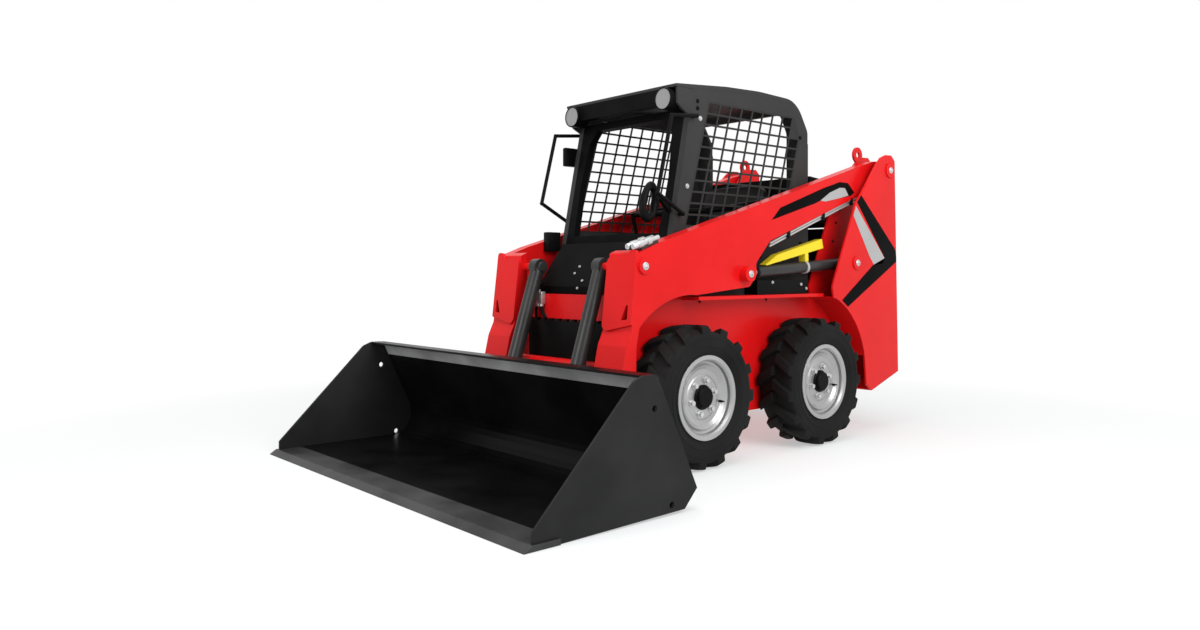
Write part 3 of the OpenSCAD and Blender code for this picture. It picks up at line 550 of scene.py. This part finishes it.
# %% Bands
FILM_T = 0.0012
arm_band = [(0.148, 1.213), (0.222, 1.281), (0.613, 1.409), (0.774, 1.454), (0.857, 1.453),
            (0.924, 1.402), (0.880, 1.380), (0.774, 1.362), (0.594, 1.341), (0.536, 1.320)]
arm_field = [(0.584, 1.337), (0.673, 1.387), (0.774, 1.421), (0.825, 1.422), (0.861, 1.381),
             (0.774, 1.362), (0.633, 1.335)]
tower_band = [(0.908, 1.383), (1.276, 1.075), (1.290, 1.030), (1.290, 1.000), (0.772, 0.740),
              (0.714, 0.778), (1.036, 0.980), (1.159, 1.021), (0.866, 1.340)]
tower_field = [(0.853, 1.318), (1.158, 1.019), (1.145, 0.996), (1.132, 0.988), (1.043, 0.978),
               (0.992, 1.034), (0.828, 1.262)]
vinyl_black = material("vinyl_black", painted(grey(0.002), grey(0.004), 0.3, spec=0.02, edge=0.0005))
vinyl_grey = material("vinyl_grey", painted(grey(0.36), grey(0.40), 0.35, spec=0.2, edge=0.0005))
for name, outline, x, mat, body in (
    ("arm_band", arm_band, 0.544, vinyl_black, "lift_arm"),
    ("arm_field", arm_field, 0.545, vinyl_grey, "lift_arm"),
    ("tower_band", tower_band, 0.600, vinyl_black, "chassis"),
    ("tower_field", tower_field, 0.600, vinyl_grey, "chassis"),
):
    piece(name, *both(slab(outline, x, x + FILM_T)), mat, body, "black_paint")
print("bands made")

# %% [markdown]
# Oil lines run along the lower edge of each arm as bent steel tubes, and black clamps hold them. A
# curve object with a round bevel would do. Here each is a circle swept along a path with rounded
# corners, because that gives a closed mesh at once.

# %% Oil lines
LINE_X, LINE_R, LINE_DROP, LINE_SLOPE = 0.532, 0.0065, 0.004, 0.35
line_run = [(0.145, 1.094), (0.397, 1.184), (0.829, 1.334), (0.985, 1.388)]
lines = []
for drop, x in ((0.0, LINE_X), (0.016, LINE_X - 0.004)):
    lines.append(tube([(x, y, z - drop - LINE_DROP) for y, z in line_run], LINE_R))
piece("oil_lines", *both(joined(lines)), zinc, "lift_arm", "worn_steel")
clamps = []
for y in (0.30, 0.62, 0.90):
    z = line_run[0][1] + (y - line_run[0][0]) * LINE_SLOPE
    clamps.append(box((LINE_X - 0.016, y - 0.012, z - 0.030), (LINE_X + 0.012, y + 0.012, z + 0.012)))
piece("line_clamps", *both(joined(clamps)), black, "lift_arm", "black_paint", bevel=0.002)
print("oil lines:", 2 * len(lines), "clamps:", 2 * len(clamps))

# %% [markdown]
# The seat is foam under vinyl. A bevelled box would look hard. Each cushion is a closed crowned form
# instead: rounded in plan, full in the middle and drawn in towards its seam.

# %% Seat
CORNER, SOFTNESS = 0.35, 0.75


def rounded(value, power):
    """A power that keeps the sign; small powers make a circle squarer."""
    return math.copysign(abs(value) ** power, value)


def cushion(centre, width, length, thick, u, v, w, crown=0.5, rows=20, sides=48):
    """A pillow of the given size on three axes, full in the middle."""
    rings = []
    for k in range(rows + 1):
        t = -math.pi / 2 + math.pi * k / rows
        rise = rounded(math.sin(t), crown) * thick / 2
        reach = max(math.cos(t), 0.0) ** CORNER if 0 < k < rows else 0.02
        ring = []
        for a in round_steps(sides):
            px = rounded(math.cos(a), CORNER) * reach * width / 2
            py = rounded(math.sin(a), CORNER) * reach * length / 2
            ring.append(tuple(Vector(centre) + px * u + py * v + rise * w))
        rings.append(ring)
    return grid(rings)


across, along, up = Vector((1, 0, 0)), Vector((0, 1, 0)), Vector((0, 0, 1))
lean = (Vector((0, 0.530, 1.530)) - Vector((0, 0.450, 1.120))).normalized()
base = cushion((0, 0.278, 1.067), 0.476, 0.432, 0.112, across, along, up)
back = cushion((0, 0.482, 1.283), 0.456, 0.326, 0.088, across, lean, across.cross(lean))
for name, part in (("seat_base", base), ("seat_back", back)):
    obj = piece(name + "_cushion", *part, finish["seat_vinyl"], "chassis", "seat_vinyl", 60)
    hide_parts(name)
print("seat made, back leans by", round(math.degrees(math.asin(lean.y)), 1))

# %% [markdown]
# Screws hold the cab's side panels. They are the same bolt heads as on the wheels, only smaller, and
# their many sides make them look round.

# %% Cab screws
CAB_X = 0.425
pale_screws = [(-0.28, 1.715), (-0.377, 1.367)]
dark_screws = [(-0.300, 1.801), (-0.300, 1.765), (0.560, 1.70), (0.560, 1.40), (0.560, 1.10),
               (-0.20, 1.02), (0.20, 1.02)]


def on_cab_sides(places):
    return [((s * CAB_X, y, z), (s, 0, 0)) for s in (1, -1) for y, z in places]


bolts("cab_screws_pale", "chassis", on_cab_sides(pale_screws), 0.009, 0.006, sides=16)
bolts("cab_screws_dark", "chassis", on_cab_sides(dark_screws), 0.008, 0.006, black, 16)
print("cab screws:", 2 * len(pale_screws + dark_screws))

# %% [markdown]
# Pins carry the arms and cylinders. The CAD has their bosses, and here each gets a steel end with a
# grease nipple, turned on the lathe. The tilt cylinders' upper pins are plain round ends, and rays
# find the arms' inner faces that they sit on.

# %% Pins
pin_end = [(0.0, -0.003), (0.019, -0.003), (0.019, 0.003), (0.016, 0.006), (0.007, 0.007),
           (0.005, 0.013), (0.0, 0.014)]
wide_end = [(0.0, -0.003), (0.026, -0.003), (0.026, 0.002), (0.023, 0.005), (0.0, 0.006)]
TILT_PIN_Y, TILT_PIN_Z = -0.795, 0.965
arm_pins = [(0.556, TILT_PIN_Y, TILT_PIN_Z), (0.590, -0.080, 0.928)]
tower_pins = [(0.608, 1.215, 1.548), (0.608, 0.862, 0.990)]
for name, places, body in (("arm_pins", arm_pins, "lift_arm"), ("tower_pins", tower_pins, "chassis")):
    ends = [lathe(pin_end, place, left) for place in places]
    piece(name, *both(joined(ends)), zinc, body, "worn_steel")
middle = (0, TILT_PIN_Y, TILT_PIN_Z)
inside = [hit("arm_left", middle, left), hit("arm_right", middle, right)]
tilt_pins = [lathe(wide_end, place, normal) for place, normal in inside]
piece("tilt_pins", *joined(tilt_pins), finish["worn_steel"], "lift_arm", "worn_steel")
print("tilt pins at x", [round(place.x, 3) for place, normal in inside])

# %% [markdown]
# A pale clamp goes round each lift barrel, where its hoses are tied. It is a flat ring in the
# barrel's own direction, and a ray from the side measures the barrel, so that the ring fits it.

# %% Ring clamps
CLAMP_PLACE = Vector((0.507, 0.483, 0.965))
LIFT_WAY = (0, -0.9978, -0.0657)
CLAMP_HALF, CLAMP_SINK, CLAMP_RISE = 0.009, 0.002, 0.005
beside = (0.9, CLAMP_PLACE.y, CLAMP_PLACE.z)
barrel_r = hit("lift_barrels", beside, right)[0].x - CLAMP_PLACE.x
low_r, high_r = barrel_r - CLAMP_SINK, barrel_r + CLAMP_RISE
clamp_profile = [(low_r, -CLAMP_HALF), (high_r, -CLAMP_HALF), (high_r, CLAMP_HALF), (low_r, CLAMP_HALF)]
ring_clamp = lathe(clamp_profile, CLAMP_PLACE, LIFT_WAY, 40, ring=True)
piece("ring_clamps", *both(ring_clamp), vinyl_grey, "lift_barrels", "worn_steel")
print("lift barrel radius", round(barrel_r, 4))

# %% [markdown]
# An oval hand grip hangs by the front post on a bent stem. A torus would be too round, so the
# section is swept round a smooth closed loop through a few given points.

# %% Hand grip
GRIP_X, GRIP_R, GRIP_HALF = 0.392, 0.022, 0.020
grip_ring = [(-0.612, 1.362), (-0.578, 1.352), (-0.566, 1.285), (-0.592, 1.208), (-0.626, 1.194),
             (-0.662, 1.226), (-0.642, 1.305)]


def smooth_loop(points, steps=4):
    """A closed curve that bends towards each point and passes half way between them."""
    curve = []
    for n, b in enumerate(points):
        a, c = points[n - 1], points[(n + 1) % len(points)]
        for t in (i / steps for i in range(steps)):
            curve.append((1 - t) ** 2 * (a + b) / 2 + 2 * t * (1 - t) * b + t * t * (b + c) / 2)
    return curve


loop = smooth_loop([Vector((GRIP_X, y, z)) for y, z in grip_ring])
middle = sum(loop, Vector()) / len(loop)
wide = Vector((GRIP_HALF, 0, 0))
rings = []
for p in loop:
    out = (p - middle).normalized() * GRIP_R
    rings.append([tuple(p + math.cos(a) * out + math.sin(a) * wide) for a in round_steps(12)])
piece("hand_grip", *grid(rings, closed_ends=False), black, "chassis", "black_paint", 50)
stem = tube([(GRIP_X, -0.575, 1.30), (GRIP_X, -0.535, 1.30), (GRIP_X, -0.47, 1.24)], 0.013, 0.02)
piece("grip_stem", *stem, black, "chassis", "black_paint", 50)
print("hand grip middle", tuple(round(c, 3) for c in middle))

# %% [markdown]
# Two small black boxes sit on the far post. Boxes look right only when their edges are bevelled,
# because a moulded edge always catches some light.

# %% Post boxes
upper_box = box((-0.455, -0.462, 1.535), (-0.425, -0.372, 1.640))
lower_box = box((-0.470, -0.588, 1.052), (-0.425, -0.497, 1.160))
piece("post_boxes", *joined([upper_box, lower_box]), black, "chassis", "black_paint", bevel=0.006)
print("post boxes made")

# %% [markdown]
# Each lamp has a dark ring around its lens and fine ribs on the glass. The ring is turned on the
# lathe as a rounded band. Modelled ribs would cost many faces, so they are a sine wave in the lens
# material: in its bump, and in its colour as a painted shade that darkens the lens along the wave.

# %% Lamps
# Radians of the rib wave in one metre
RIB_WAVE = 900.0
LAMP_X, LENS_DEPTH = 0.354, 0.011


def ribbed(colour):
    """Plastic or glass with fine upright ribs and painted shade along them."""
    # Painted shade: a tone a fifth darker, laid along the rib wave.
    rib_shade = tuple(c * 0.8 for c in colour[:3]) + (1.0,)

    def make(g):
        x = g.axes(g.place())[0]
        rib = g.math("SINE", x * RIB_WAVE)
        bumpy = g.add("ShaderNodeBump", {}, Strength=0.35, Distance=0.001, Height=rib)
        return {"Base Color": g.mix(0.5 + 0.5 * rib, colour, rib_shade), "Roughness": 0.15, "Normal": bumpy}
    return make


nodes["lamps"].data.materials[0] = material("lamp_lens", ribbed(grey(0.27)))
lamp_low, lamp_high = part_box("lamps")
rim_y, lens_z = lamp_low.y - MACHINE_Y + LENS_DEPTH, (lamp_low.z + lamp_high.z) / 2
bezel = [(0.0503, 0.0), (0.0560, 0.0), (0.0575, 0.006), (0.0560, 0.013), (0.0525, 0.014), (0.0503, 0.010)]
rims = [lathe(bezel, (x, rim_y, lens_z), front, 48, ring=True) for x in (-LAMP_X, LAMP_X)]
piece("lamp_rims", *joined(rims), black, "chassis", "black_paint", 50)
print("lamp rims at height", round(lens_z, 3))

# %% [markdown]
# Two oil couplers lie on top of the left arm. A coupler is a good lathe exercise: a row of collars
# with different radii, made from one profile. They start in the CAD block that holds them.

# %% Couplers
COUPLER_WAY, COUPLER_DROP = (0, 0.96, 0.28), 0.018
coupler_collars = [
    (0.0, 0.0), (0.013, 0.0), (0.015, 0.004), (0.015, 0.030), (0.018, 0.032), (0.018, 0.062), (0.015, 0.064),
    (0.015, 0.085), (0.020, 0.087), (0.020, 0.112), (0.012, 0.114), (0.012, 0.170), (0.0, 0.170),
]
low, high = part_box("coupler_block")
start_y, start_z = low.y - MACHINE_Y, (low.z + high.z) / 2 - COUPLER_DROP
couplers = [lathe(coupler_collars, (x, start_y, start_z), COUPLER_WAY, 28) for x in (0.488, 0.526)]
piece("couplers", *joined(couplers), zinc, "lift_arm", "worn_steel")
print("couplers:", len(couplers))

# %% [markdown]
# Small fasteners sit on the footwell, the side boxes, the frame and the towers. A ray finds the place
# on the face and the way it looks, so a bolt head always stands square on its plate, wherever the
# plate leans.

# %% Fasteners on faces
FAR_X, FAR_Y, IN_TOWER_X = 0.9, -1.6, 0.56
footwell_spots = [(-0.078, 0.966), (-0.087, 0.931), (0.005, 0.894), (-0.006, 0.856), (0.13, 0.909),
                  (0.265, 1.026), (0.22, 1.065)]
found = on_faces("footwell", [(x, FAR_Y, z) for x, z in footwell_spots], rear)
bolts("footwell_bolts", "chassis", found, 0.005, 0.005, sides=16)
box_spots = [(0.193, 0.883), (0.447, 0.870), (0.494, 0.847), (0.05, 0.883), (-0.10, 0.883)]
found = on_faces("side_boxes", [(FAR_X, y, z) for y, z in box_spots], right)
found += on_faces("side_boxes", [(-FAR_X, y, z) for y, z in box_spots], left)
bolts("box_bolts", "chassis", found, 0.006, 0.005, sides=12)
frame_spots = [(-0.291, 0.790), (0.244, 0.790)]
tower_spots = [(0.889, 1.228), (0.857, 1.119), (0.930, 1.306)]
for side, sign in (("left", 1), ("right", -1)):
    inward = (-sign, 0, 0)
    found = on_faces("frame_side_" + side, [(sign * FAR_X, y, z) for y, z in frame_spots], inward)
    found += on_faces("tower_" + side, [(sign * IN_TOWER_X, y, z) for y, z in tower_spots], inward)
    bolts("frame_bolts_" + side, "chassis", found, 0.006, 0.005, black, 12)
print("bolts on each side of the frame:", len(found))

# %% [markdown]
# The oil fittings in front are a steel block with short hoses. The hoses are swept tubes with wide
# bends, and a thin collar hides where a hose enters its fitting.

# %% Front fittings
HOSE_R, HOSE_GAP = 0.008, 0.018
HOSE_A_X, HOSE_B_X = -0.250, -0.226
plate_y = hit("front_plate", (-0.24, FAR_Y, 0.80), rear)[0].y
hose_y = plate_y - HOSE_GAP
block = box((-0.262, plate_y - 0.030, 0.772), (-0.212, plate_y - 0.001, 0.836))
piece("oil_block", *block, zinc, "chassis", "worn_steel", bevel=0.003)
rising = [(HOSE_A_X, hose_y, 0.830), (HOSE_A_X, hose_y, 0.868), (-0.190, hose_y, 0.880)]
falling = [(HOSE_A_X, hose_y, 0.778), (-0.275, plate_y - 0.020, 0.735), (-0.272, plate_y - 0.014, 0.680)]
short = [(HOSE_B_X, hose_y, 0.778), (HOSE_B_X, plate_y - 0.020, 0.745), (-0.200, plate_y - 0.014, 0.700)]
hoses = [tube(rising, HOSE_R, 0.025), tube(falling, HOSE_R, 0.03), tube(short, HOSE_R, 0.03)]
piece("oil_hoses", *joined(hoses), black, "chassis", "black_paint", 50)
collar = [(0.0, 0.0), (0.012, 0.0), (0.012, 0.014), (0.0, 0.014)]
hose_ends = ((HOSE_A_X, 0.834, 1), (HOSE_A_X, 0.774, -1), (HOSE_B_X, 0.774, -1))
collars = [lathe(collar, (x, hose_y, z), (0, 0, way), 12) for x, z, way in hose_ends]
piece("hose_collars", *joined(collars), zinc, "chassis", "worn_steel")
print("front plate at y", round(plate_y, 3))

# %% [markdown]
# Along the bucket's upper lip lies a strip lighter than the black shell, a grey with a little metal.
# Rays find the inner face of the shell at a few heights, and the strip is a thin skin laid along
# those points.

# %% Lip strip
STRIP_T, STRIP_INSET = 0.003, 0.012
low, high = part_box("bucket_shell")
heights = [high.z - drop for drop in (0.014, 0.032, 0.052, 0.072)]
found = on_faces("bucket_shell", [(0.0, -3.0, z) for z in heights], rear)
line = [(place.y, place.z) for place, normal in found]
outline = [(y - STRIP_T, z) for y, z in line] + [(y + STRIP_T / 3, z) for y, z in reversed(line)]
strip_x = high.x - STRIP_INSET
strip_finish = painted(grey(0.20), grey(0.36), 0.42, metallic=0.2, spec=0.3, edge=0.001)
strip = slab(outline, -strip_x, strip_x)
piece("lip_strip", *strip, material("lip_strip_grey", strip_finish), "bucket", "worn_steel")
print("lip strip points:", len(line))

# %% [markdown]
# The photograph doesn't show the back. A loader of this kind has lamps between the plates of its
# uprights, so plain ones are put there. Their lenses are red and amber plastic with the same fine
# ribs as the front lamps.

# %% Tail lamps
TAIL_Y = 1.262
housing = box((0.4425, TAIL_Y - 0.05, 0.930), (0.5875, TAIL_Y, 1.060))
piece("tail_housings", *both(housing), black, "chassis", "black_paint", bevel=0.004)
for name, colour, low_z, high_z in (
    ("tail_red", (0.45, 0.006, 0.006, 1), 0.998, 1.050),
    ("tail_amber", (0.75, 0.22, 0.01, 1), 0.940, 0.990),
):
    lens = box((0.4520, TAIL_Y - 0.004, low_z), (0.5780, TAIL_Y + 0.010, high_z))
    piece(name, *both(lens), material(name, ribbed(colour)), "chassis", "lamp_grey", bevel=0.004)
print("tail lamps made")

# %% [markdown]
# The engine door needs a latch. It is a plate with a grip on it, two bevelled boxes, and a ray puts
# it on the door's outer face, near its top and away from the hinges. It rides on the door.

# %% Door latch
LATCH_X, LATCH_DROP = 0.30, 0.06
latch_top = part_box("rear_door")[1].z - LATCH_DROP
x, y, z = hit("rear_door", (LATCH_X, 3.0, latch_top), front)[0]
plate = box((x - 0.045, y - 0.001, z - 0.025), (x + 0.045, y + 0.006, z + 0.025))
grip = box((x - 0.035, y + 0.004, z - 0.008), (x + 0.020, y + 0.018, z + 0.010))
piece("door_latch", *joined([plate, grip]), black, "rear_door", "black_paint", bevel=0.0025)
print("door latch at height", round(z, 3))

# %% [markdown]
# The floor is a wide pale plane. A plain white one would show a horizon, so it fades into a plain
# white glow with the distance. Near the machine enough of the matt floor stays to hold a shadow, and
# it is a little cool, because the red paint tints what light it throws down.

# %% Floor
FLOOR = 40.0
NEAR_GLOW, FADE_FROM, FADE_TO = 0.45, 2.0, 15.0
corners = [(-FLOOR, -FLOOR, 0), (FLOOR, -FLOOR, 0), (FLOOR, FLOOR, 0), (-FLOOR, FLOOR, 0)]
mesh = bpy.data.meshes.new("floor")
mesh.from_pydata(corners, [], [(0, 1, 2, 3)])
floor = bpy.data.objects.new("floor", mesh)
bpy.context.scene.collection.objects.link(floor)
mat = bpy.data.materials.new("floor")
mat.use_nodes = True
mat.node_tree.nodes.clear()
g = Graph(mat.node_tree)
x, y = g.axes(g.place())[:2]
far = NEAR_GLOW + (1 - NEAR_GLOW) * (x * x + y * y).between(FADE_FROM, FADE_TO)
matt = g.add("ShaderNodeBsdfDiffuse", {}, (0.86, 0.9, 0.9, 1.0))
glow = g.add("ShaderNodeEmission", {}, grey(1.0), 1.0)
g.add("ShaderNodeOutputMaterial", {}, g.add("ShaderNodeMixShader", {}, far, matt, glow))
mesh.materials.append(mat)
print("floor reaches", FLOOR)

# %% [markdown]
# A white sky lights everything softly. Camera, glossy and transmitted rays see it as plain white,
# and other rays get a dimmer one, so that the lamps can shape the machine. A large lamp from the
# machine's left gives the bright side faces, one stands in front, and one overhead fills the rest.

# %% Light
SKY, WHITE = 0.42, 1.0
world = bpy.data.worlds.new("studio")
bpy.context.scene.world = world
world.use_nodes = True
world.node_tree.nodes.clear()
g = Graph(world.node_tree)
ray = g.add("ShaderNodeLightPath", {}).socket.node.outputs
seen = Wire(g, ray["Is Camera Ray"]) + Wire(g, ray["Is Glossy Ray"]) + Wire(g, ray["Is Transmission Ray"])
sky = g.add("ShaderNodeBackground", {}, grey(1.0), SKY)
white = g.add("ShaderNodeBackground", {}, grey(1.0), WHITE)
g.add("ShaderNodeOutputWorld", {}, g.add("ShaderNodeMixShader", {}, seen.clamp(), sky, white))


def area_lamp(name, place, target, size, watts):
    lamp = bpy.data.objects.new(name, bpy.data.lights.new(name, "AREA"))
    lamp.data.energy = watts
    lamp.data.size = size
    lamp.location = place
    lamp.rotation_euler = (Vector(target) - Vector(place)).to_track_quat("-Z", "Y").to_euler()
    bpy.context.scene.collection.objects.link(lamp)


area_lamp("side_lamp", (6.0, -0.5, 4.0), (0, 0.3, 0.8), 4.5, 300)
area_lamp("top_lamp", (0.5, -1.0, 6.0), (0, 0, 0), 6.0, 200)
area_lamp("front_lamp", (0.5, -7.0, 2.6), (0, -0.5, 0.9), 3.0, 170)
print("studio ready")
